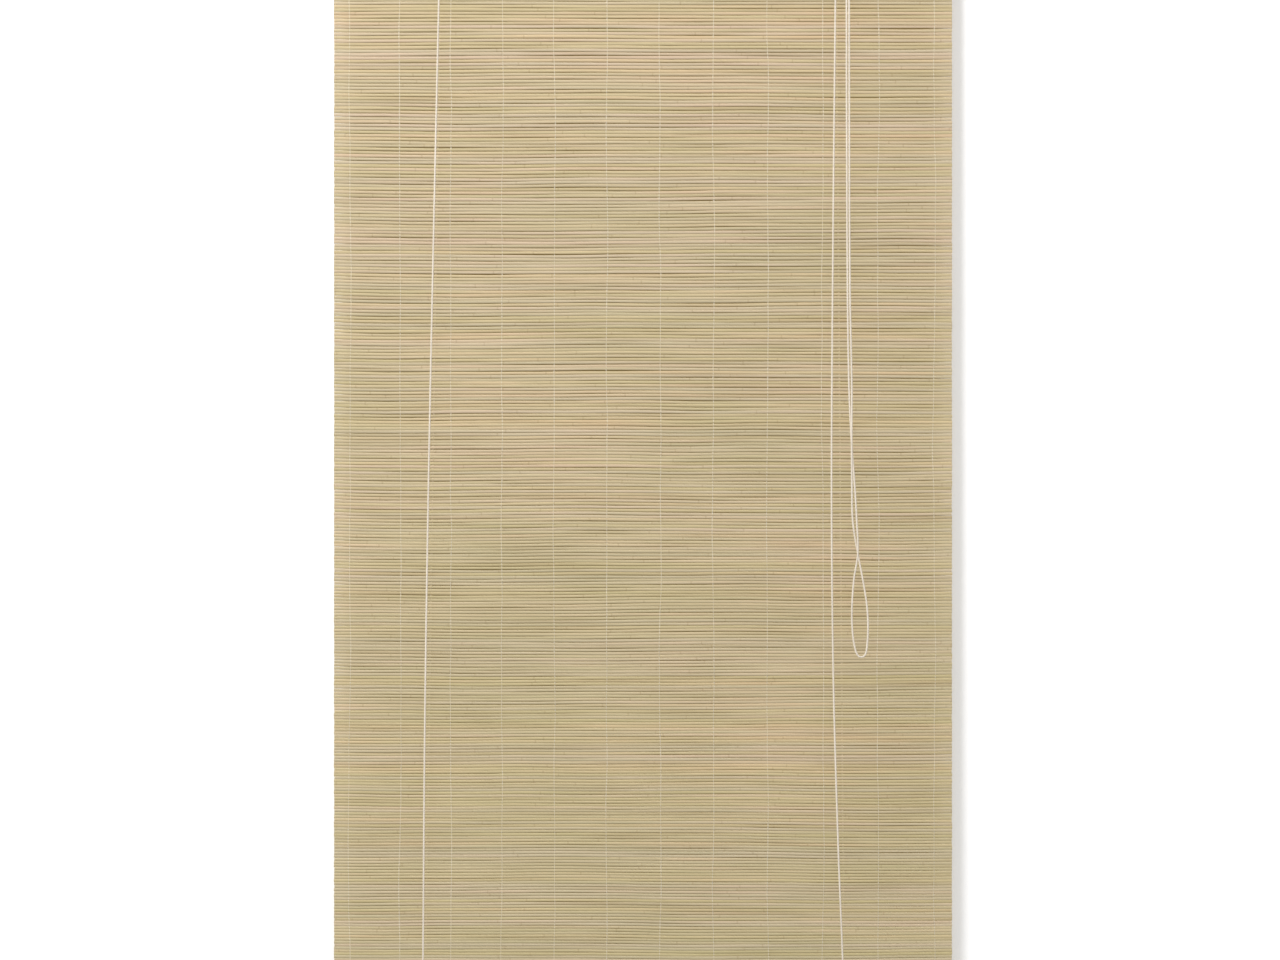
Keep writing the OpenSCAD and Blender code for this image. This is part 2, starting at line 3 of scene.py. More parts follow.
import bmesh
import bpy
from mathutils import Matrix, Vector


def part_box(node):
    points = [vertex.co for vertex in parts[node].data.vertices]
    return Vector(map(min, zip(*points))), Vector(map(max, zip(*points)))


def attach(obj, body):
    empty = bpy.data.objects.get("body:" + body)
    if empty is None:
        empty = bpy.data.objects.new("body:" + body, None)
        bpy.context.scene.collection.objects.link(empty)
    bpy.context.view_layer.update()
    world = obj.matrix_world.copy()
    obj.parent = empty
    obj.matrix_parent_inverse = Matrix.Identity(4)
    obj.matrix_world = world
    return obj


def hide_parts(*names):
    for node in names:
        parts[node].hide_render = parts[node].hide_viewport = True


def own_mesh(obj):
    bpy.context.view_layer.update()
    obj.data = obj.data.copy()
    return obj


# A bamboo roll up blind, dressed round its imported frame. Lengths are in metres. X runs to the right along
# the rail, Z is up, and the room lies towards -Y.
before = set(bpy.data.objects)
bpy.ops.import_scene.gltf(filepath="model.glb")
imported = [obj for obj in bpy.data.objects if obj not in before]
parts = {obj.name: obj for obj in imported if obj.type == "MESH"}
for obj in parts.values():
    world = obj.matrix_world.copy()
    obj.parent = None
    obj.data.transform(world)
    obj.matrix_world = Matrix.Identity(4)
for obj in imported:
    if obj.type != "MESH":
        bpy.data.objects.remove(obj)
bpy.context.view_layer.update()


# Head rail: a planed pine batten that carries the whole blind from the wall. Its grain runs along it,
# and a thin clear lacquer leaves a soft shine on the pale wood.
def tint(red, green, blue):
    """A colour as a screen shows it, from 0 to 255, turned into Blender's linear colour."""
    shares = [c / 255 for c in (red, green, blue)]
    linear = [c / 12.92 if c <= 0.04045 else ((c + 0.055) / 1.055) ** 2.4 for c in shares]
    return (*linear, 1.0)


def put(tree, kind, inputs=None, **settings):
    """A new node in a tree, with its settings made and each input linked or set."""
    node = tree.nodes.new(kind)
    for name, value in settings.items():
        setattr(node, name, value)
    for key, value in (inputs or {}).items():
        if isinstance(value, bpy.types.NodeSocket):
            tree.links.new(value, node.inputs[key])
        else:
            node.inputs[key].default_value = value
    return node


def reckon(tree, operation, first, second=0.0, third=0.0):
    """One sum in a node tree."""
    node = put(tree, "ShaderNodeMath", {0: first, 1: second, 2: third}, operation=operation)
    return node.outputs[0]


def blend_colours(tree, share, first, second, how="MIX"):
    """Two colours mixed by a share."""
    node = put(tree, "ShaderNodeMix", {0: share, 6: first, 7: second}, data_type="RGBA", blend_type=how)
    return node.outputs[2]


def stretched_noise(tree, place, scale, detail=3.0, roughness=0.5):
    """Noise on a place that is stretched by a scale along each axis."""
    mapped = put(tree, "ShaderNodeMapping", {"Vector": place, "Scale": scale})
    noise = put(tree, "ShaderNodeTexNoise", {
        "Vector": mapped.outputs[0], "Scale": 1.0, "Detail": detail, "Roughness": roughness})
    return noise.outputs[0]


def new_group(name, kind, inputs, outputs):
    """An empty node group with named sockets, and its two end nodes."""
    group = bpy.data.node_groups.new(name, kind)
    for socket, socket_kind in inputs:
        group.interface.new_socket(socket, in_out="INPUT", socket_type="NodeSocket" + socket_kind)
    for socket, socket_kind in outputs:
        group.interface.new_socket(socket, in_out="OUTPUT", socket_type="NodeSocket" + socket_kind)
    return group, group.nodes.new("NodeGroupInput").outputs, group.nodes.new("NodeGroupOutput").inputs


def make_batten_grain():
    """Long growth rings, fine fibres and short pores along X, for planed battens."""
    group, given, result = new_group(
        "batten grain", "ShaderNodeTree",
        [("Shift", "Vector"), ("Light", "Color"), ("Dark", "Color")],
        [("Colour", "Color"), ("Roughness", "Float"), ("Relief", "Float")])
    place = put(group, "ShaderNodeTexCoord").outputs["Object"]
    moved = put(group, "ShaderNodeVectorMath", {0: place, 1: given["Shift"]}, operation="ADD").outputs[0]
    growth = stretched_noise(group, moved, (1.2, 24.0, 24.0), detail=2.0)
    rings = reckon(group, "SINE", reckon(group, "MULTIPLY", growth, 105.0))
    late_wood = reckon(group, "POWER", reckon(group, "MULTIPLY_ADD", rings, 0.5, 0.5), 3.0)
    fibres = stretched_noise(group, moved, (10.0, 1500.0, 1500.0), detail=3.0)
    dashes = stretched_noise(group, moved, (45.0, 2600.0, 2600.0), detail=1.0)
    pores = put(group, "ShaderNodeMapRange", {0: dashes, 1: 0.62, 2: 0.74}).outputs[0]
    blotch = stretched_noise(group, moved, (3.0, 14.0, 14.0))
    share = reckon(group, "MULTIPLY_ADD", blotch, 0.6, -0.28)
    for mark, weight in ((late_wood, 0.42), (fibres, 0.4), (pores, 0.45)):
        share = reckon(group, "MULTIPLY_ADD", mark, weight, share)
    group.links.new(blend_colours(group, share, given["Light"], given["Dark"]), result["Colour"])
    group.links.new(reckon(group, "MULTIPLY_ADD", fibres, 0.3, 0.32), result["Roughness"])
    group.links.new(reckon(group, "MULTIPLY_ADD", pores, -1.0, fibres), result["Relief"])
    return group


batten_grain = make_batten_grain()


def new_finish(name):
    """An empty material and its Principled shader."""
    finish = bpy.data.materials.new(name)
    finish.use_nodes = True
    return finish, finish.node_tree, finish.node_tree.nodes["Principled BSDF"]


def link_surface(tree, shader, colour, roughness, relief, depth):
    """A shader gets its colour, its roughness and its relief, a bump of a given depth in metres."""
    bump = put(tree, "ShaderNodeBump", {"Height": relief, "Strength": 1.0, "Distance": depth}).outputs[0]
    for name, value in (("Base Color", colour), ("Roughness", roughness), ("Normal", bump)):
        tree.links.new(value, shader.inputs[name])


def batten_finish(name, shift, light, dark):
    """Lacquered pale wood, with a shift that gives each batten its own figure."""
    finish, tree, shader = new_finish(name)
    grain = put(tree, "ShaderNodeGroup", {"Shift": shift, "Light": light, "Dark": dark},
                node_tree=batten_grain).outputs
    link_surface(tree, shader, grain["Colour"], grain["Roughness"], grain["Relief"], depth=0.00008)
    return finish


def wear(node, finish):
    """A part of the frame gets its finish."""
    parts[node].data.materials.clear()
    parts[node].data.materials.append(finish)


rail_light = tint(221, 198, 158)
rail_dark = tint(184, 152, 108)
wear("head_rail", batten_finish("pine rail", (0.0, 0.0, 0.0), rail_light, rail_dark))


# Cover strip: a thinner batten of the same wood, nailed over the mat's upper edge so that the mat is
# clamped to the rail.
wear("cover_strip", batten_finish("pine cover strip", (0.7, 0.31, 0.12), rail_light, rail_dark))


# Hangers, brackets and lock housing: stamped and folded steel sheet, zinc plated. The plating has a fine
# cloudy spangle and faint scratches.
def make_plating():
    """Cloudy zinc: patches of tone and of shine."""
    group, given, result = new_group(
        "plating", "ShaderNodeTree", [("Light", "Color"), ("Dark", "Color"), ("Dullness", "Float")],
        [("Colour", "Color"), ("Roughness", "Float"), ("Relief", "Float")])
    place = put(group, "ShaderNodeTexCoord").outputs["Object"]
    cloud = stretched_noise(group, place, (160.0, 160.0, 160.0), detail=4.0)
    scratch = stretched_noise(group, place, (90.0, 90.0, 1800.0), detail=2.0)
    group.links.new(blend_colours(group, cloud, given["Light"], given["Dark"]), result["Colour"])
    rough = reckon(group, "MULTIPLY_ADD", cloud, 0.22, given["Dullness"])
    group.links.new(reckon(group, "MULTIPLY_ADD", scratch, 0.12, rough), result["Roughness"])
    group.links.new(scratch, result["Relief"])
    return group


plating = make_plating()


def metal_finish(name, light, dark, dullness):
    """Plated or plain metal with a cloudy surface."""
    finish, tree, shader = new_finish(name)
    cloudy = put(tree, "ShaderNodeGroup", {"Light": light, "Dark": dark, "Dullness": dullness},
                 node_tree=plating).outputs
    link_surface(tree, shader, cloudy["Colour"], cloudy["Roughness"], cloudy["Relief"], depth=0.00002)
    shader.inputs["Metallic"].default_value = 1.0
    return finish


zinc = metal_finish("zinc plate", tint(206, 207, 204), tint(168, 170, 170), dullness=0.26)
for sheet_part in ("left_hanger", "right_hanger", "left_bracket", "lock_housing"):
    wear(sheet_part, zinc)


# Axles, pawl pin and spacer: turned bright steel. The pins are riveted through the folded plates, and the
# spacer keeps the lock's two sheaves apart.
bright_steel = metal_finish("bright steel", tint(188, 188, 186), tint(146, 146, 145), dullness=0.2)
for turned_part in ("left_axle", "right_axle", "pawl_pin", "sheave_spacer"):
    wear(turned_part, bright_steel)


# Nails and screws: wire nails with low domed heads join the battens, and cross-recessed screws hold the
# plates. They are bright steel, driven home, and each recess stays at the angle where its screw stopped.
def nail_rings(length):
    """Radius and depth of a nail's rings, from its tip to the middle of its head."""
    return [(0.0002, length), (0.0008, length - 0.002), (0.0008, 0.0008), (0.002, 0.0008), (0.002, 0.0005),
            (0.0016, 0.0002), (0.0007, 0.0)]


def pan_rings(length):
    """The rings of a screw with a rounded head."""
    return [(0.0003, length), (0.0013, 0.8 * length), (0.0013, 0.0016), (0.0026, 0.0016), (0.0026, 0.0012),
            (0.0024, 0.0006), (0.0019, 0.0002), (0.0014, 0.0)]


def sunk_rings(length):
    """The rings of a countersunk screw."""
    return [(0.0003, length), (0.0013, 0.8 * length), (0.0013, 0.0013), (0.0026, 0.0)]


def turned_piece(name, rings, recess):
    """A closed piece turned about Y from its rings, which ends in a cross recess if it has one.

    Every third corner of the recess lies between two arms of the cross and is drawn in.
    """
    sides = 12
    step = 360 / sides
    corner_share = math.sqrt(2) * math.sin(math.radians(step / 2))
    verts, faces = [], []
    for i, (radius, depth) in enumerate([*rings, *recess]):
        for k in range(sides):
            reach = radius * corner_share if i >= len(rings) and k % 3 == 1 else radius
            turn = math.radians(step / 2 + step * k)
            verts.append((reach * math.cos(turn), depth, reach * math.sin(turn)))
    last = len(verts) - sides
    for i in range(0, last, sides):
        for k in range(sides):
            m = (k + 1) % sides
            faces.append((i + k, i + m, i + sides + m, i + sides + k))
    faces.append(tuple(reversed(range(sides))))
    faces.append(tuple(range(last, last + sides)))
    mesh = bpy.data.meshes.new(name)
    mesh.from_pydata(verts, [], faces, shade_flat=False)
    return bpy.data.objects.new(name, mesh)


def make_fixings():
    """One piece at each seat, at an angle of its own and with its sharp edges kept."""
    tree, given, result = new_group(
        "fixings", "GeometryNodeTree",
        [("Seats", "Geometry"), ("Piece", "Object"), ("Heading", "Float"), ("Seed", "Int"),
         ("Finish", "Material")],
        [("Mesh", "Geometry")])
    piece = put(tree, "GeometryNodeObjectInfo", {"Object": given["Piece"]}).outputs["Geometry"]
    spin = put(tree, "FunctionNodeRandomValue",
               {2: 0.0, 3: math.pi, "Seed": given["Seed"]}, data_type="FLOAT").outputs[1]
    turn = put(tree, "ShaderNodeCombineXYZ", {1: spin, 2: given["Heading"]}).outputs[0]
    fixings = put(tree, "GeometryNodeInstanceOnPoints",
                  {"Points": given["Seats"], "Instance": piece, "Rotation": turn}).outputs[0]
    fixings = put(tree, "GeometryNodeRealizeInstances", {"Geometry": fixings}).outputs[0]
    least_sharp = math.radians(42)
    bend = put(tree, "GeometryNodeInputMeshEdgeAngle").outputs["Unsigned Angle"]
    sharp = reckon(tree, "GREATER_THAN", bend, least_sharp)
    fixings = put(tree, "GeometryNodeSetShadeSmooth",
                  {"Geometry": fixings, "Selection": sharp, "Shade Smooth": False},
                  domain="EDGE").outputs[0]
    fixings = put(tree, "GeometryNodeSetMaterial",
                  {"Geometry": fixings, "Material": given["Finish"]}).outputs[0]
    tree.links.new(fixings, result["Mesh"])
    return tree


def grow(name, tree, values, seats=()):
    """A plain mesh made by a node tree from its inputs, and from seats if the tree takes them."""
    mesh = bpy.data.meshes.new(name)
    mesh.from_pydata(seats, [], [])
    made = bpy.data.objects.new(name, mesh)
    bpy.context.scene.collection.objects.link(made)
    builder = made.modifiers.new("builder", "NODES")
    builder.node_group = tree
    for socket in tree.interface.items_tree:
        if socket.in_out == "INPUT" and socket.name in values:
            builder[socket.identifier] = values[socket.name]
    bpy.context.view_layer.update()
    graph = bpy.context.evaluated_depsgraph_get()
    made.data = bpy.data.meshes.new_from_object(
        made.evaluated_get(graph), preserve_all_data_layers=True, depsgraph=graph)
    made.modifiers.clear()
    made.data.name = name
    return made


def drive(node, body, shape, recess=(), from_wall=False):
    """A group of fasteners, each turned to a shape and set on the axis of its plain solid."""
    low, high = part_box(node)
    tip_y, head_y = (low.y, high.y) if from_wall else (high.y, low.y)
    at_tip, on_one_tip = 0.0001, 0.002
    tips = []
    for vertex in parts[node].data.vertices:
        place = parts[node].matrix_world @ vertex.co
        if abs(place.y - tip_y) < at_tip:
            same = [tip for tip in tips if (tip[0] - place).length < on_one_tip]
            if same:
                same[0].append(place)
            else:
                tips.append([place])
    axes = [sum(tip, Vector()) / len(tip) for tip in tips]
    piece = turned_piece(node + "_pattern", shape(high.y - low.y), recess)
    fixings = grow(node + "_driven", fixing_tree, {
        "Piece": piece, "Heading": math.pi if from_wall else 0.0, "Seed": 5, "Finish": bright_steel},
        [(axis.x, head_y, axis.z) for axis in axes])
    bpy.data.objects.remove(piece)
    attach(fixings, body)
    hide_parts(node)


fixing_tree = make_fixings()
cross_recess = [(0.0013, 0.0), (0.001, 0.0009)]
drive("rail_nails", "head", nail_rings)
drive("bar_nails", "bottom_bar", nail_rings)
drive("left_screws", "head", pan_rings, cross_recess)
drive("lock_screws", "head", pan_rings, cross_recess)
drive("hanger_screws", "head", sunk_rings, cross_recess, from_wall=True)


# Lock pawl: a cam cast in plain brass, loose on its pin. Its teeth bite the pull cord when the cord runs
# back, and let it go when the pawl swings away.
wear("lock_pawl", metal_finish("plain brass", tint(206, 170, 96), tint(168, 128, 62), dullness=0.24))


# Sheaves: small grooved wheels moulded in ivory nylon, loose on their axles. The moulding leaves a faint
# mottle and a dull shine.
def nylon_finish():
    """Ivory nylon, with a mottle that shows in its tone, its shine and its surface."""
    finish, tree, shader = new_finish("ivory nylon")
    place = put(tree, "ShaderNodeTexCoord").outputs["Object"]
    mottle = stretched_noise(tree, place, (240.0, 240.0, 240.0), detail=3.0)
    colour = blend_colours(tree, mottle, tint(240, 236, 222), tint(222, 215, 196))
    roughness = reckon(tree, "MULTIPLY_ADD", mottle, 0.2, 0.36)
    link_surface(tree, shader, colour, roughness, mottle, depth=0.00003)
    return finish


ivory_nylon = nylon_finish()
for wheel in ("left_sheave", "rear_sheave", "front_sheave"):
    wear(wheel, ivory_nylon)


# Bamboo mat: about four hundred rods of split bamboo, one above the other, held only by the warps. The rows
# are coarser at the top than below. Each rod has its own tone, bows a little and ends unevenly.
mat_low, mat_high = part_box("bamboo_mat")
mat_middle = (mat_low.y + mat_high.y) / 2
row_at_top = 0.0045
row_below = 0.0037
rows = int(2 * (mat_high.z - mat_low.z) / (row_at_top + row_below))


def make_row_place():
    """The height of a row's edge, counted from the top, as rows grow finer downwards."""
    group, given, result = new_group(
        "row place", "GeometryNodeTree",
        [("Row", "Float"), ("Rows", "Float"), ("Top", "Float"), ("Height", "Float"),
         ("First Row", "Float"), ("Last Row", "Float")],
        [("Level", "Float")])
    change = reckon(group, "SUBTRACT", given["Last Row"], given["First Row"])
    mean_row = reckon(group, "MULTIPLY", reckon(group, "ADD", given["First Row"], given["Last Row"]), 0.5)
    share_down = reckon(group, "DIVIDE", given["Row"], given["Rows"])
    half_change = reckon(group, "MULTIPLY", change, 0.5)
    bend = reckon(group, "MULTIPLY_ADD", half_change, share_down, given["First Row"])
    covered = reckon(group, "DIVIDE", reckon(group, "MULTIPLY", bend, share_down), mean_row)
    depth = reckon(group, "MULTIPLY", covered, given["Height"])
    group.links.new(reckon(group, "SUBTRACT", given["Top"], depth), result["Level"])
    return group


row_place = make_row_place()
row_inputs = [("Rows", "Int"), ("Top", "Float"), ("Height", "Float"), ("First Row", "Float"),
              ("Last Row", "Float"), ("From", "Int"), ("Count", "Int")]
row_values = {"Rows": rows, "Top": mat_high.z, "Height": mat_high.z - mat_low.z,
              "First Row": row_at_top, "Last Row": row_below}


def row_level(tree, given, row):
    """The height of a row's edge in a tree that has the row inputs."""
    named = {name: given[name] for name, kind in row_inputs[:5]}
    return put(tree, "GeometryNodeGroup", {"Row": row, **named}, node_tree=row_place).outputs[0]


def centred_noise(tree, x, y, z, reach):
    """Smooth noise between minus and plus a reach."""
    place = put(tree, "ShaderNodeCombineXYZ", {0: x, 1: y, 2: z}).outputs[0]
    noise = put(tree, "ShaderNodeTexNoise", {"Vector": place, "Scale": 1.0, "Detail": 2.0}).outputs[0]
    return reckon(tree, "MULTIPLY", reckon(tree, "MULTIPLY_ADD", noise, 2.0, -1.0), reach)


def make_rods():
    """Rods on their rows, each with a tone, a bow, a changing thickness and uneven ends.

    Towards the mat's two edges the rods lie straighter and closer.
    """
    tree, given, result = new_group(
        "split rods", "GeometryNodeTree",
        [("Width", "Float"), ("Middle", "Float"), *row_inputs, ("Thickness", "Float"), ("Fill", "Float"),
         ("Fill Below", "Float"), ("Bow", "Float"), ("Lean", "Float"), ("Jut", "Float"), ("Swell", "Float"),
         ("Close", "Float"), ("Ragged", "Float"), ("Steps", "Int"), ("Seed", "Int"),
         ("Finish", "Material")],
        [("Mesh", "Geometry")])
    row = reckon(tree, "ADD", put(tree, "GeometryNodeInputIndex").outputs[0], given["From"])
    middle_z = row_level(tree, given, reckon(tree, "ADD", row, 0.5))
    row_height = reckon(tree, "SUBTRACT", row_level(tree, given, row),
                        row_level(tree, given, reckon(tree, "ADD", row, 1.0)))
    seat = put(tree, "ShaderNodeCombineXYZ", {1: given["Middle"], 2: middle_z}).outputs[0]
    line = put(tree, "GeometryNodeMeshLine", {"Count": given["Count"]})
    seats = put(tree, "GeometryNodeSetPosition", {"Geometry": line.outputs[0], "Position": seat}).outputs[0]

    half_width = reckon(tree, "MULTIPLY", given["Width"], 0.5)
    left_x = reckon(tree, "MULTIPLY", half_width, -1.0)
    left_end = put(tree, "ShaderNodeCombineXYZ", {0: left_x}).outputs[0]
    right_end = put(tree, "ShaderNodeCombineXYZ", {0: half_width}).outputs[0]
    axis = put(tree, "GeometryNodeCurvePrimitiveLine", {"Start": left_end, "End": right_end}).outputs[0]
    axis = put(tree, "GeometryNodeResampleCurve", {"Curve": axis, "Count": given["Steps"]}).outputs[0]
    sides = 8
    section = put(tree, "GeometryNodeCurvePrimitiveCircle",
                  {"Resolution": sides, "Radius": 1 / math.cos(math.pi / sides)}).outputs[0]
    section = put(tree, "GeometryNodeTransform",
                  {"Geometry": section, "Rotation": (0.0, 0.0, math.pi / sides)}).outputs[0]
    rod = put(tree, "GeometryNodeCurveToMesh",
              {"Curve": axis, "Profile Curve": section, "Fill Caps": True}).outputs[0]

    across = reckon(tree, "MULTIPLY", given["Thickness"], 0.5)
    fill = put(tree, "ShaderNodeMapRange", {
        0: row, 1: 0.0, 2: given["Rows"], 3: given["Fill"], 4: given["Fill Below"]}).outputs[0]
    upright = reckon(tree, "MULTIPLY", reckon(tree, "MULTIPLY", row_height, fill), 0.5)
    size = put(tree, "ShaderNodeCombineXYZ", {0: 1.0, 1: across, 2: upright}).outputs[0]
    rods = put(tree, "GeometryNodeInstanceOnPoints",
               {"Points": seats, "Instance": rod, "Scale": size}).outputs[0]
    tone = put(tree, "FunctionNodeRandomValue",
               {"ID": row, "Seed": given["Seed"]}, data_type="FLOAT").outputs[1]
    for name, value in (("rod_number", row), ("rod_tone", tone), ("rod_level", middle_z)):
        rods = put(tree, "GeometryNodeStoreNamedAttribute",
                   {"Geometry": rods, "Name": name, "Value": value},
                   data_type="FLOAT", domain="INSTANCE").outputs[0]
    rods = put(tree, "GeometryNodeRealizeInstances", {"Geometry": rods}).outputs[0]

    number, level = [
        put(tree, "GeometryNodeInputNamedAttribute", {"Name": name}, data_type="FLOAT").outputs[0]
        for name in ("rod_number", "rod_level")]
    position = put(tree, "GeometryNodeInputPosition").outputs[0]
    place = put(tree, "ShaderNodeSeparateXYZ", {0: position}).outputs
    stray = reckon(tree, "MULTIPLY", number, 7.37)

    # The rail and the bar hold the rods near them level, and the rods lie quieter further down.
    down = reckon(tree, "DIVIDE", reckon(tree, "SUBTRACT", given["Top"], level), given["Height"])
    from_rail = reckon(tree, "MULTIPLY", down, 0.45)
    from_clamp = reckon(tree, "MINIMUM", from_rail, reckon(tree, "SUBTRACT", 1.0, down))
    free = put(tree, "ShaderNodeMapRange", {0: from_clamp, 1: 0.02, 2: 0.12}).outputs[0]
    loose = put(tree, "ShaderNodeMapRange", {0: down, 1: 0.4, 2: 1.0, 3: 1.0, 4: 0.3}).outputs[0]
    sway = centred_noise(tree, reckon(tree, "MULTIPLY", place[0], 2.6),
                         reckon(tree, "MULTIPLY", level, 5.0), 2.0, given["Bow"])

    # Each rod leans, juts and swells in a way of its own, less so in the last part before an edge.
    out = reckon(tree, "ABSOLUTE", place[0])
    edge_start = reckon(tree, "MULTIPLY", half_width, 0.91)
    edge = put(tree, "ShaderNodeMapRange", {0: out, 1: edge_start, 2: half_width}).outputs[0]
    even = reckon(tree, "MULTIPLY_ADD", edge, -0.8, 1.0)
    lean = centred_noise(tree, reckon(tree, "MULTIPLY", place[0], 5.5), stray, 9.0, given["Lean"])
    lean = reckon(tree, "MULTIPLY", lean, even)
    jut = centred_noise(tree, reckon(tree, "MULTIPLY", place[0], 4.0), stray, 17.0, given["Jut"])
    swell = centred_noise(tree, reckon(tree, "MULTIPLY", place[0], 8.0), stray, 33.0, given["Swell"])
    girth = reckon(tree, "MULTIPLY_ADD", swell, even, 1.0)
    tall = reckon(tree, "MULTIPLY", girth, reckon(tree, "MULTIPLY_ADD", edge, given["Close"], 1.0))
    up = reckon(tree, "MULTIPLY_ADD", lean, loose, reckon(tree, "MULTIPLY", sway, free))
    above = reckon(tree, "SUBTRACT", place[2], level)
    new_z = reckon(tree, "ADD", up, reckon(tree, "MULTIPLY_ADD", above, tall, level))
    before = reckon(tree, "SUBTRACT", place[1], given["Middle"])
    new_y = reckon(tree, "ADD", jut, reckon(tree, "MULTIPLY_ADD", before, girth, given["Middle"]))

    # The cut ends stand unevenly.
    side = reckon(tree, "SIGN", place[0])
    near_end = reckon(tree, "MULTIPLY", half_width, 0.99)
    at_end = reckon(tree, "GREATER_THAN", out, near_end)
    end_number = reckon(tree, "MULTIPLY_ADD", side, 0.25, reckon(tree, "MULTIPLY", number, 2.0))
    short = put(tree, "FunctionNodeRandomValue",
                {2: -1.0, 3: 0.35, "ID": reckon(tree, "MULTIPLY", end_number, 4.0), "Seed": given["Seed"]},
                data_type="FLOAT").outputs[1]
    end_move = reckon(tree, "MULTIPLY", reckon(tree, "MULTIPLY", short, given["Ragged"]), side)
    new_x = reckon(tree, "MULTIPLY_ADD", end_move, at_end, place[0])
    settled = put(tree, "ShaderNodeCombineXYZ", {0: new_x, 1: new_y, 2: new_z}).outputs[0]
    rods = put(tree, "GeometryNodeSetPosition", {"Geometry": rods, "Position": settled}).outputs[0]
    rods = put(tree, "GeometryNodeSetShadeSmooth", {"Geometry": rods, "Shade Smooth": False}).outputs[0]
    rods = put(tree, "GeometryNodeSetMaterial", {"Geometry": rods, "Material": given["Finish"]}).outputs[0]
    tree.links.new(rods, result["Mesh"])
    return tree


def bamboo_finish():
    """Split bamboo: a tone for each rod, long fibres, slow changes along the rod and dark joint marks."""
    finish, tree, shader = new_finish("split bamboo")
    place = put(tree, "ShaderNodeTexCoord").outputs["Object"]
    tone = put(tree, "ShaderNodeAttribute", attribute_name="rod_tone").outputs["Fac"]
    number = put(tree, "ShaderNodeAttribute", attribute_name="rod_number").outputs["Fac"]
    along = put(tree, "ShaderNodeSeparateXYZ", {0: place}).outputs
    own = put(tree, "ShaderNodeCombineXYZ", {
        0: along[0], 1: reckon(tree, "MULTIPLY", number, 0.37), 2: 0.0}).outputs[0]
    patch = stretched_noise(tree, place, (3.0, 1.0, 9.0), detail=2.0)
    drift = stretched_noise(tree, own, (7.0, 3.1, 1.0), detail=3.0)
    hue = reckon(tree, "MULTIPLY_ADD", patch, 0.9, reckon(tree, "MULTIPLY_ADD", tone, 0.3, -0.62))
    hue = reckon(tree, "MULTIPLY_ADD", drift, 1.1, hue)
    # The rods turn darker and more olive towards the bottom of the mat.
    hue = reckon(tree, "MULTIPLY_ADD", reckon(tree, "ADD", along[2], 0.8), -0.12, hue)
    ramp = put(tree, "ShaderNodeValToRGB", {0: hue})
    stops = [(0.0, tint(217, 190, 157)), (0.3, tint(214, 193, 159)), (0.5, tint(207, 191, 155)),
             (0.7, tint(201, 187, 149)), (1.0, tint(194, 182, 141))]
    ramp.color_ramp.elements[0].position, ramp.color_ramp.elements[0].color = stops[0]
    ramp.color_ramp.elements[1].position, ramp.color_ramp.elements[1].color = stops[-1]
    for position, colour in stops[1:-1]:
        ramp.color_ramp.elements.new(position).color = colour
    warmth = reckon(tree, "FRACT", reckon(tree, "MULTIPLY", tone, 7.0))
    cast = blend_colours(tree, warmth, (0.985, 0.99, 1.08, 1.0), (1.015, 1.0, 0.9, 1.0))
    colour = blend_colours(tree, 1.0, ramp.outputs[0], cast, how="MULTIPLY")
    # Towards the bottom the colour is also made a little darker and more olive.
    height = put(tree, "ShaderNodeMapRange", {0: along[2], 1: -1.6, 2: 0.0}).outputs[0]
    shade = blend_colours(tree, height, (0.975, 0.985, 0.945, 1.0), (1.0, 1.0, 1.03, 1.0))
    colour = blend_colours(tree, 1.0, colour, shade, how="MULTIPLY")
    dim = stretched_noise(tree, own, (4.0, 5.3, 1.0), detail=4.0)
    dim = put(tree, "ShaderNodeMapRange", {0: dim, 1: 0.5, 2: 0.75, 3: 0.0, 4: 0.6}).outputs[0]
    colour = blend_colours(tree, dim, colour, tint(174, 154, 114))
    fibre = stretched_noise(tree, place, (9.0, 640.0, 640.0), detail=2.0)
    colour = blend_colours(tree, reckon(tree, "MULTIPLY", fibre, 0.4), colour, tint(172, 150, 112))
    joint_gap = 0.31
    reach = reckon(tree, "MULTIPLY_ADD", tone, 7.0, reckon(tree, "DIVIDE", along[0], joint_gap))
    near = reckon(tree, "ABSOLUTE", reckon(tree, "SUBTRACT", reckon(tree, "FRACT", reach), 0.5))
    joint_mark = put(tree, "ShaderNodeMapRange", {0: near, 1: 0.0, 2: 0.005, 3: 0.3, 4: 0.0},
                     interpolation_type="SMOOTHSTEP").outputs[0]
    colour = blend_colours(tree, joint_mark, colour, tint(150, 122, 82))
    roughness = reckon(tree, "MULTIPLY_ADD", fibre, 0.26, 0.36)
    link_surface(tree, shader, colour, roughness, fibre, depth=0.00003)
    return finish


# Hem: the rods that the bottom bar clamps stay in it and turn with it. The mat above them hangs from the
# head.
bar_low, bar_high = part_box("bar_front")
bar_level = (bar_low.z + bar_high.z) / 2
bar_reach = mat_middle - bar_low.y


def row_edge(row):
    """The height of a row's upper edge."""
    share_down = row / rows
    covered = share_down * (row_at_top + (row_below - row_at_top) * share_down / 2)
    return mat_high.z - (mat_high.z - mat_low.z) * covered / ((row_at_top + row_below) / 2)


hem_row = next(row for row in range(rows) if row_edge(row) < bar_level + bar_reach)


def draw_up(piece):
    """A piece that hangs from the head rides with it, on a mesh of its own."""
    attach(piece, "head")
    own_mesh(piece)


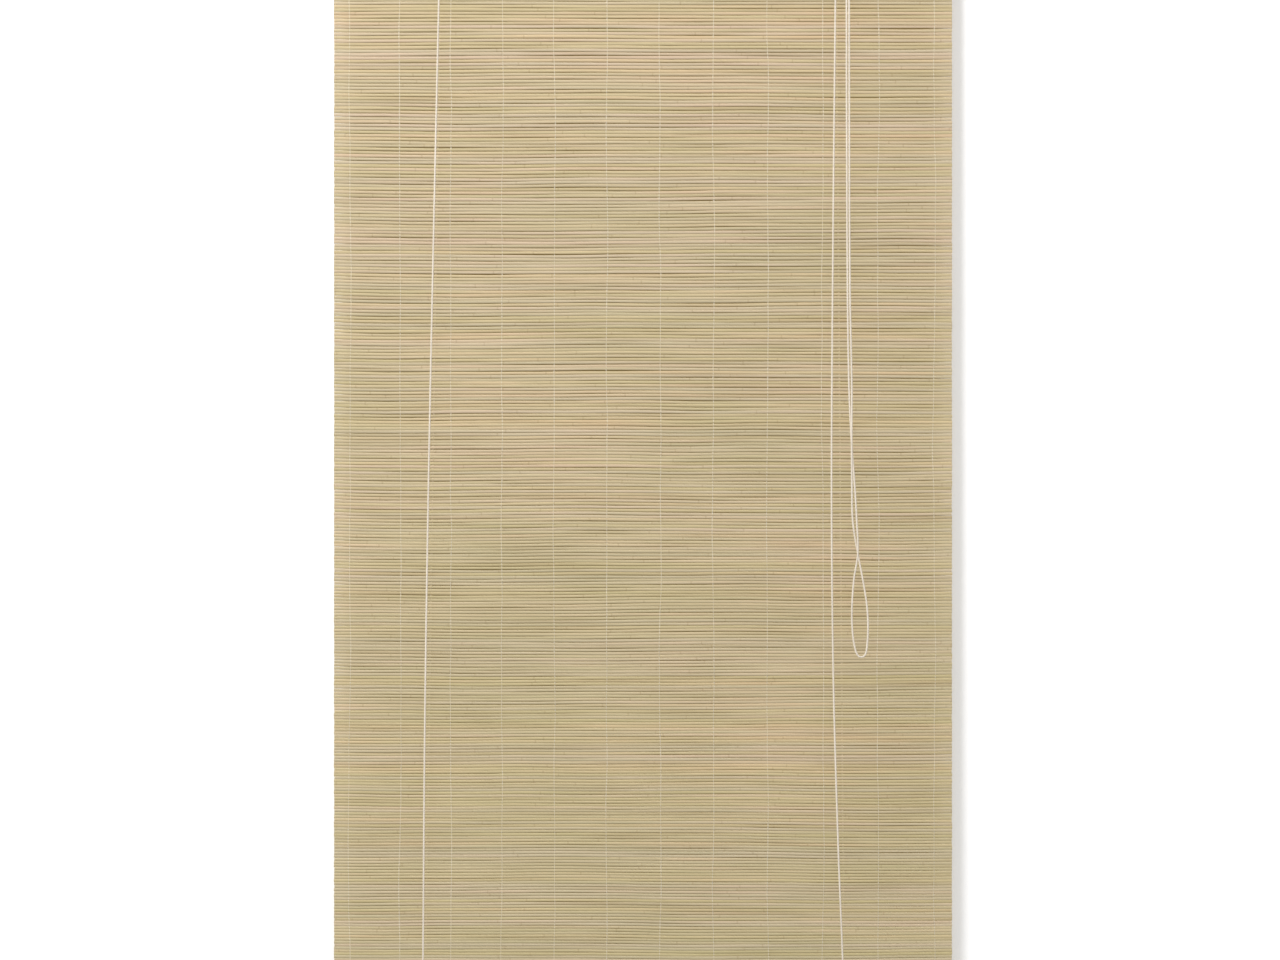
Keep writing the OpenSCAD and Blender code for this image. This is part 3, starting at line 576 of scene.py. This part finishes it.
rod_tree = make_rods()
rod_values = {
    **row_values, "Width": mat_high.x - mat_low.x, "Middle": mat_middle,
    "Thickness": mat_high.y - mat_low.y, "Fill": 0.865, "Fill Below": 0.915,
    "Bow": 0.0045, "Lean": 0.0012, "Jut": 0.0004, "Swell": 0.3, "Close": 0.1, "Ragged": 0.0005,
    "Steps": 25, "Seed": 11, "Finish": bamboo_finish()}
bamboo_rods = grow("bamboo_rods", rod_tree, {**rod_values, "From": 0, "Count": hem_row})
draw_up(bamboo_rods)
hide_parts("bamboo_mat")

hem_rods = grow("hem_rods", rod_tree, {**rod_values, "From": hem_row, "Count": rows - hem_row})
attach(hem_rods, "bottom_bar")


# Warps: twelve pairs of cotton twine. The two threads of a pair pass before and behind each rod in turn and
# cross between the rods, which holds the mat together.
warp_count = 12
warp_inset = 0.0205
warp_gap = 0.065
warp_spread = 0.00075
warp_drift = 0.005


def make_twine():
    """Pairs of threads that wind round each other once in every two rows."""
    tree, given, result = new_group(
        "warp twine", "GeometryNodeTree",
        [("Left", "Float"), ("Middle", "Float"), *row_inputs, ("Warps", "Int"), ("Inset", "Float"),
         ("Gap", "Float"), ("Spread", "Float"), ("Drift", "Float"), ("Reach", "Float"), ("Cross", "Float"),
         ("Thread", "Float"), ("Finish", "Material")],
        [("Mesh", "Geometry")])
    index = put(tree, "GeometryNodeInputIndex").outputs[0]
    step = reckon(tree, "MULTIPLY_ADD", given["From"], 2.0, index)
    doubled = reckon(tree, "MULTIPLY_ADD", given["Count"], 2.0, 1.0)
    line = put(tree, "GeometryNodeMeshLine", {"Count": doubled}).outputs[0]
    turn = reckon(tree, "MULTIPLY", step, math.pi / 2)
    level = row_level(tree, given, reckon(tree, "MULTIPLY", step, 0.5))
    out = reckon(tree, "MULTIPLY", reckon(tree, "SINE", turn), given["Reach"])
    aside = reckon(tree, "MULTIPLY", reckon(tree, "COSINE", turn), given["Cross"])
    bite = put(tree, "ShaderNodeCombineXYZ", {0: aside, 1: out, 2: level}).outputs[0]
    path = put(tree, "GeometryNodeSetPosition", {"Geometry": line, "Position": bite}).outputs[0]
    path = put(tree, "GeometryNodeMeshToCurve", {"Mesh": path}).outputs[0]
    section = put(tree, "GeometryNodeCurvePrimitiveCircle",
                  {"Resolution": 4, "Radius": reckon(tree, "MULTIPLY", given["Thread"], 0.5)}).outputs[0]
    thread = put(tree, "GeometryNodeCurveToMesh",
                 {"Curve": path, "Profile Curve": section, "Fill Caps": True}).outputs[0]
    other = put(tree, "GeometryNodeTransform",
                {"Geometry": thread, "Rotation": (0.0, 0.0, math.pi)}).outputs[0]
    pair = put(tree, "GeometryNodeJoinGeometry")
    tree.links.new(thread, pair.inputs[0])
    tree.links.new(other, pair.inputs[0])

    warp = put(tree, "GeometryNodeInputIndex").outputs[0]
    last_warp = reckon(tree, "SUBTRACT", warp, 1.0)
    before = reckon(tree, "MULTIPLY", reckon(tree, "MULTIPLY", warp, last_warp), 0.5)
    x = reckon(tree, "ADD", given["Left"], given["Inset"])
    x = reckon(tree, "MULTIPLY_ADD", warp, given["Gap"], x)
    x = reckon(tree, "MULTIPLY_ADD", before, given["Spread"], x)
    seat = put(tree, "ShaderNodeCombineXYZ", {0: x, 1: given["Middle"]}).outputs[0]
    seats = put(tree, "GeometryNodeMeshLine", {"Count": given["Warps"]}).outputs[0]
    seats = put(tree, "GeometryNodeSetPosition", {"Geometry": seats, "Position": seat}).outputs[0]
    warps = put(tree, "GeometryNodeInstanceOnPoints",
                {"Points": seats, "Instance": pair.outputs[0]}).outputs[0]
    warps = put(tree, "GeometryNodeRealizeInstances", {"Geometry": warps}).outputs[0]
    position = put(tree, "GeometryNodeInputPosition").outputs[0]
    place = put(tree, "ShaderNodeSeparateXYZ", {0: position}).outputs
    drift = centred_noise(tree, reckon(tree, "MULTIPLY", place[0], 20.0), 3.0,
                          reckon(tree, "MULTIPLY", place[2], 5.0), given["Drift"])
    move = put(tree, "ShaderNodeCombineXYZ", {0: drift}).outputs[0]
    warps = put(tree, "GeometryNodeSetPosition", {"Geometry": warps, "Offset": move}).outputs[0]
    warps = put(tree, "GeometryNodeSetShadeSmooth", {"Geometry": warps}).outputs[0]
    warps = put(tree, "GeometryNodeSetMaterial",
                {"Geometry": warps, "Material": given["Finish"]}).outputs[0]
    tree.links.new(warps, result["Mesh"])
    return tree


def twine_finish():
    """Soft cream cotton with a fluffy, uneven tone."""
    finish, tree, shader = new_finish("cotton twine")
    place = put(tree, "ShaderNodeTexCoord").outputs["Object"]
    fluff = stretched_noise(tree, place, (1500.0, 1500.0, 900.0), detail=2.0)
    colour = blend_colours(tree, fluff, tint(234, 226, 208), tint(208, 197, 174))
    roughness = reckon(tree, "MULTIPLY_ADD", fluff, 0.2, 0.75)
    link_surface(tree, shader, colour, roughness, fluff, depth=0.0001)
    return finish


thread_low, thread_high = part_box("warp_threads")
thread_size = 0.0009
twine_tree = make_twine()
twine_values = {
    **row_values, "Left": mat_low.x, "Middle": mat_middle, "Warps": warp_count, "Inset": warp_inset,
    "Gap": warp_gap, "Spread": warp_spread, "Drift": warp_drift,
    "Reach": (thread_high.y - thread_low.y - thread_size) / 2, "Cross": thread_size / 2,
    "Thread": thread_size, "Finish": twine_finish()}
warp_twine = grow("warp_twine", twine_tree, {**twine_values, "From": 0, "Count": hem_row})
draw_up(warp_twine)
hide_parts("warp_threads")

hem_twine = grow("hem_twine", twine_tree, {**twine_values, "From": hem_row, "Count": rows - hem_row})
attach(hem_twine, "bottom_bar")


# Bottom bar: two half-round battens of the same wood, nailed together through the mat's lower end. The mat
# winds on to them as the blind is drawn up.
wear("bar_front", batten_finish("pine bar front", (1.9, 0.07, 0.4), rail_light, rail_dark))
wear("bar_back", batten_finish("pine bar back", (2.6, 0.52, 0.9), rail_light, rail_dark))


# Lift cord: one braided off-white cord. It is knotted on the rail, runs down behind the mat, under the bar
# and up the front, over the sheaves, and ends in the hanging pull loop.
cord_size = 0.0024


def smooth_route(route):
    """Points a few millimetres apart on a smooth curve through a route given in millimetres."""
    spacing = 0.005
    marks = [Vector(p) / 1000 for p in route]
    spread = [marks[0]] + marks + [marks[-1]]
    leads = [(after - before).normalized() for before, after in zip(spread, spread[2:])]
    line = []
    for i in range(len(marks) - 1):
        span = (marks[i + 1] - marks[i]).length
        count = max(3, round(span / spacing))
        for k in range(count):
            t = k / count
            line.append(
                marks[i] * (2 * t ** 3 - 3 * t ** 2 + 1) + leads[i] * span * (t ** 3 - 2 * t ** 2 + t)
                + marks[i + 1] * (3 * t ** 2 - 2 * t ** 3) + leads[i + 1] * span * (t ** 3 - t ** 2))
    return line + [marks[-1]]


def tube_mesh(name, line, radius, sides=10, closed=False):
    """A round tube along a line, with a UV map that counts turns round it and diameters along it."""
    count = len(line)
    closing_run = 0.3
    rings, verts, faces, uvs = [], [], [], []
    side = Vector((0, 1, 0)) if abs((line[1] - line[0]).normalized().y) < 0.9 else Vector((1, 0, 0))
    run = 0.0
    for i, point in enumerate(line):
        ahead = line[(i + 1) % count] if closed else line[min(i + 1, count - 1)]
        behind = line[i - 1] if closed or i else line[0]
        way = (ahead - behind).normalized()
        side = (side - way * side.dot(way)).normalized()
        other = way.cross(side)
        run += (point - line[i - 1]).length if i else 0.0
        rings.append(run / (2 * radius))
        for k in range(sides):
            a = 2 * math.pi * k / sides
            verts.append(point + radius * (math.cos(a) * side + math.sin(a) * other))
    for i in range(count if closed else count - 1):
        j = (i + 1) % count
        for k in range(sides):
            m = (k + 1) % sides
            faces.append((i * sides + k, i * sides + m, j * sides + m, j * sides + k))
            low, high = rings[i], rings[j] if j else rings[i] + closing_run
            uvs += [(k / sides, low), ((k + 1) / sides, low), ((k + 1) / sides, high), (k / sides, high)]
    if not closed:
        last = (count - 1) * sides
        faces.append(tuple(reversed(range(sides))))
        uvs += [(0.5, rings[0])] * sides
        faces.append(tuple(range(last, last + sides)))
        uvs += [(0.5, rings[-1])] * sides
    mesh = bpy.data.meshes.new(name)
    mesh.from_pydata(verts, [], faces)
    mesh.shade_smooth()
    layer = mesh.uv_layers.new(name="braid")
    for loop, uv in zip(layer.data, uvs):
        loop.uv = uv
    return mesh


def braid_finish():
    """Off-white braid: two sets of strands that cross, and a little soiling."""
    finish, tree, shader = new_finish("braided cord")
    places = put(tree, "ShaderNodeTexCoord").outputs
    turn = put(tree, "ShaderNodeSeparateXYZ", {0: places["UV"]}).outputs
    strands_round, strands_along = 4.0, 1.6
    round_cord = reckon(tree, "MULTIPLY", turn[0], strands_round)
    strands = []
    for hand in (1.0, -1.0):
        lean = reckon(tree, "MULTIPLY_ADD", turn[1], strands_along * hand, round_cord)
        strands.append(reckon(tree, "SINE", reckon(tree, "MULTIPLY", lean, 2 * math.pi)))
    weave = reckon(tree, "MULTIPLY_ADD", reckon(tree, "MULTIPLY", strands[0], strands[1]), 0.5, 0.5)
    soil = stretched_noise(tree, places["Object"], (60.0, 60.0, 12.0), detail=3.0)
    share = reckon(tree, "MULTIPLY_ADD", soil, 0.6, reckon(tree, "MULTIPLY", weave, -0.4))
    share = reckon(tree, "ADD", share, 0.2)
    colour = blend_colours(tree, share, tint(250, 239, 224), tint(222, 208, 188))
    roughness = reckon(tree, "MULTIPLY_ADD", soil, 0.2, 0.62)
    link_surface(tree, shader, colour, roughness, weave, depth=0.0003)
    return finish


braided = braid_finish()


def lay_cord(name, route, node):
    """A run of the cord along its route, in place of its plain solid."""
    line = smooth_route(route)
    mesh = tube_mesh(name, line, cord_size / 2)
    mesh.materials.append(braided)
    run = bpy.data.objects.new(name, mesh)
    bpy.context.scene.collection.objects.link(run)
    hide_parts(node)
    return run


# Knots: the cord's two ends, tied above the holes in the rail so that they can't slip through. Each is
# pulled tight, and its cut end stands up from it.
tail_route = [(0.0, 0.0, 0.0), (1.4, -0.6, 3.6), (4.2, -1.6, 7.4), (7.6, -2.2, 9.2)]


def tie_knot(node):
    """A tight overhand knot, a trefoil of cord in the plain knot's space, and the cord's cut end."""
    low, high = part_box(node)
    middle = (low + high) / 2
    tight_radius = 0.0011
    steps = 64
    spread = ((high.x - low.x) / 2 - tight_radius) / 3
    rise = (high.z - low.z) / 2 - tight_radius
    line = []
    for k in range(steps):
        t = 2 * math.pi * k / steps
        line.append(middle + Vector((
            spread * (math.sin(t) + 2 * math.sin(2 * t)), spread * (math.cos(t) - 2 * math.cos(2 * t)),
            -rise * math.sin(3 * t))))
    name = node + "_tied"
    mesh = tube_mesh(name, line, tight_radius, closed=True)
    tail_line = smooth_route([1000 * middle + Vector(point) for point in tail_route])
    tail = tube_mesh(name + "_tail", tail_line, tight_radius)
    both = bmesh.new()
    both.from_mesh(mesh)
    both.from_mesh(tail)
    both.to_mesh(mesh)
    both.free()
    mesh.materials.append(braided)
    knot = bpy.data.objects.new(name, mesh)
    bpy.context.scene.collection.objects.link(knot)
    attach(knot, "head")
    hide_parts(node)
    return knot


left_knot = tie_knot("left_knot")
right_knot = tie_knot("right_knot")


# Runs of the cord, with their routes in millimetres. Back runs and front runs hang from the head as the mat
# does, the slings rise with the bar, and the cross cord and the pull loop stay where they are.
left_back = lay_cord("left_back_run", [
    (-262, -7.8, -14), (-262, -7.8, -46), (-263, -7.8, -120), (-285, -7.8, -1599.6)],
    "left_back_cord")
right_back = lay_cord("right_back_run", [
    (250, -7.8, -14), (250, -7.8, -46), (250.6, -7.8, -120), (262, -7.8, -1599.6)],
    "right_back_cord")
left_front = lay_cord("left_front_run", [
    (-260.2, -39.2, -44), (-263.7, -39.3, -203), (-270.6, -39.5, -514), (-276.9, -39.7, -824),
    (-281.6, -39.9, -1135), (-283.6, -40.1, -1400), (-285, -40.2, -1599.6)],
    "left_front_cord")
right_front = lay_cord("right_front_run", [
    (249.8, -46.6, -44), (247.9, -46, -203), (244.9, -45, -514), (243.1, -44, -824),
    (245.5, -43, -1070), (251.9, -42, -1290), (257.6, -41, -1435), (262, -40.2, -1599.6)],
    "right_front_cord")
draw_up(left_back)
draw_up(right_back)
draw_up(left_front)
draw_up(right_front)

for side_name, x in (("left", -285), ("right", 262)):
    sling = lay_cord(side_name + "_bight", [
        (x, -40.2, -1600), (x, -38, -1608.1), (x, -32.1, -1614), (x, -24, -1616.2), (x, -15.9, -1614),
        (x, -10, -1608.1), (x, -7.8, -1600)],
        side_name + "_sling")
    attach(sling, "lift")

cross_run = lay_cord("cross_run", [
    (-260.2, -39.2, -44), (-259.7, -39.2, -41.2), (-258.1, -39.2, -38.9), (-255.8, -39.2, -37.3),
    (-253, -39.2, -36.8), (257, -39.2, -36.8), (259.8, -39.2, -37.3), (262.1, -39.2, -38.9),
    (263.7, -39.2, -41.2), (264.2, -39.2, -44)],
    "cross_cord")
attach(cross_run, "head")

pull_loop = lay_cord("pull_loop", [
    (264.2, -39.2, -44), (263.4, -43.4, -110), (262.4, -43.8, -203), (263.6, -43.6, -560),
    (265.6, -42.8, -690), (269, -40.6, -765), (273, -41.8, -820), (275.6, -42.4, -866),
    (277, -44, -908), (272, -42.8, -942), (269.3, -42.4, -985), (270.6, -42.4, -1014),
    (273.4, -42.4, -1031), (275.8, -42.4, -1038), (278.4, -42.4, -1041.4), (281.6, -42.4, -1042.4),
    (284.8, -42.4, -1041.3), (287.2, -42.4, -1037.8), (289, -42.4, -1028), (290.2, -42.4, -1003),
    (288.6, -42.4, -975), (283, -41.8, -940), (277, -40, -908), (270.4, -42.2, -866),
    (269.4, -42.8, -820), (269, -44.6, -765), (269.2, -43.8, -690), (266.8, -43.8, -560),
    (265.8, -44.2, -203), (265.2, -46.4, -110), (264.2, -46.6, -44), (263.7, -46.6, -41.2),
    (262.1, -46.6, -38.9), (259.8, -46.6, -37.3), (257, -46.6, -36.8), (254.2, -46.6, -37.3),
    (251.9, -46.6, -38.9), (250.3, -46.6, -41.2), (249.8, -46.6, -44)],
    "pull_cord")
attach(pull_loop, "head")


# Wall: the plain white wall that the blind hangs on. It takes the blind's soft shadow, and close behind the
# mat it carries a painted dark brown shade in place of the shade that falls there. It is seen only from the
# room, so that the blind's back can be looked at too.
def make_wall():
    """One large face, painted with a dark brown shade close behind the mat and see-through from behind the
    wall.
    """
    finish, tree, shader = new_finish("white wall")
    tree.nodes.remove(shader)
    covered_within, covered_share, open_from, own_glow = 0.12, 0.3, 0.46, 0.26
    # Painted shade: where ambient occlusion finds the mat close before the wall, the wall turns dark brown
    # and loses its glow. Above the mat's top it stays white.
    open_share = put(tree, "ShaderNodeAmbientOcclusion", {"Distance": covered_within}).outputs["AO"]
    clear = put(tree, "ShaderNodeMapRange", {0: open_share, 1: covered_share, 2: open_from}).outputs[0]
    place = put(tree, "ShaderNodeTexCoord").outputs["Object"]
    height = put(tree, "ShaderNodeSeparateXYZ", {0: place}).outputs[2]
    clear = reckon(tree, "MAXIMUM", clear, reckon(tree, "GREATER_THAN", height, mat_high.z))
    wall_or_painted_shade = blend_colours(tree, clear, (0.45, 0.35, 0.16, 1.0), (0.9, 0.9, 0.9, 1.0))
    matt = put(tree, "ShaderNodeBsdfDiffuse", {"Color": wall_or_painted_shade}).outputs[0]
    glow = reckon(tree, "MULTIPLY", clear, own_glow)
    glow = put(tree, "ShaderNodeEmission", {"Strength": glow}).outputs[0]
    lit = put(tree, "ShaderNodeAddShader", {0: matt, 1: glow}).outputs[0]
    behind = put(tree, "ShaderNodeNewGeometry").outputs["Backfacing"]
    unseen = put(tree, "ShaderNodeBsdfTransparent").outputs[0]
    mixed = put(tree, "ShaderNodeMixShader", {0: behind, 1: lit, 2: unseen}).outputs[0]
    tree.links.new(mixed, tree.nodes["Material Output"].inputs["Surface"])
    half_x, half_z, behind_plates = 4, 3, 0.002
    corners = [(side_x * half_x, behind_plates, side_z * half_z)
               for side_x, side_z in ((-1, -1), (1, -1), (1, 1), (-1, 1))]
    mesh = bpy.data.meshes.new("wall")
    mesh.from_pydata(corners, [], [(0, 1, 2, 3)])
    mesh.materials.append(finish)
    wall = bpy.data.objects.new("wall", mesh)
    wall.visible_diffuse = False
    wall.visible_shadow = False
    bpy.context.scene.collection.objects.link(wall)


make_wall()


# Light: a large soft lamp from the upper left of the room, a weak one behind, and an even pale surround.
# The window light throws no shadow of the front cords, so that they stand clear on the mat.
def soft_lamp(name, place, aim, size, power):
    """A round lamp of a given diameter that shines at its aim."""
    lamp = bpy.data.lights.new(name, "AREA")
    lamp.shape = "DISK"
    lamp.size = size
    lamp.energy = power
    holder = bpy.data.objects.new(name, lamp)
    holder.location = place
    holder.rotation_euler = (Vector(aim) - Vector(place)).to_track_quat("-Z", "Y").to_euler()
    bpy.context.scene.collection.objects.link(holder)
    return holder


window_light = soft_lamp(
    "window light", place=(-2.1, -3.5, 2.5), aim=(0.0, 0.0, -0.75), size=1.7, power=192.0)
soft_lamp("back light", place=(1.5, 3.5, 0.5), aim=(0.0, 0.0, -0.8), size=2.0, power=60.0)
shadowless = bpy.data.collections.new("front cords")
for run in (left_front, right_front, pull_loop):
    shadowless.objects.link(run)
for entry in shadowless.collection_objects:
    entry.light_linking.link_state = "EXCLUDE"
window_light.light_linking.blocker_collection = shadowless

world = bpy.data.worlds.new("pale room")
world.use_nodes = True
bpy.context.scene.world = world
sky = world.node_tree
towards = put(sky, "ShaderNodeTexCoord").outputs["Generated"]
direction = put(sky, "ShaderNodeSeparateXYZ", {0: towards}).outputs
room_level, wall_level = 0.61, 0.3
from_room = put(sky, "ShaderNodeMapRange", {
    0: direction[1], 1: -0.6, 2: 0.6, 3: room_level, 4: wall_level}).outputs[0]
rays = put(sky, "ShaderNodeLightPath").outputs
seen = reckon(sky, "MAXIMUM", rays["Is Camera Ray"], rays["Is Transmission Ray"])
seen = reckon(sky, "MAXIMUM", seen, rays["Is Glossy Ray"])
level = put(sky, "ShaderNodeMix", {0: seen, 2: from_room, 3: 1.0}, data_type="FLOAT").outputs[0]
sky.links.new(level, sky.nodes["Background"].inputs["Strength"])
sky.nodes["Background"].inputs["Color"].default_value = (1.0, 1.0, 1.0, 1.0)
bpy.context.scene.view_settings.view_transform = "Standard"


# Camera: straight in front of the blind's middle and far off, so that the rods look level over the whole
# drop. The blind's two ends lie outside its view.
camera_data = bpy.data.cameras.new("camera")
camera_data.sensor_width = 36.0
camera_far = 5.0
view_width = 1.657
view_x, view_z = -0.0039, -0.814
camera_data.lens = camera_data.sensor_width * camera_far / view_width
camera = bpy.data.objects.new("camera", camera_data)
camera.location = (view_x, mat_middle - camera_far, view_z)
camera.rotation_euler = (math.pi / 2, 0.0, 0.0)
bpy.context.scene.collection.objects.link(camera)
bpy.context.scene.camera = camera
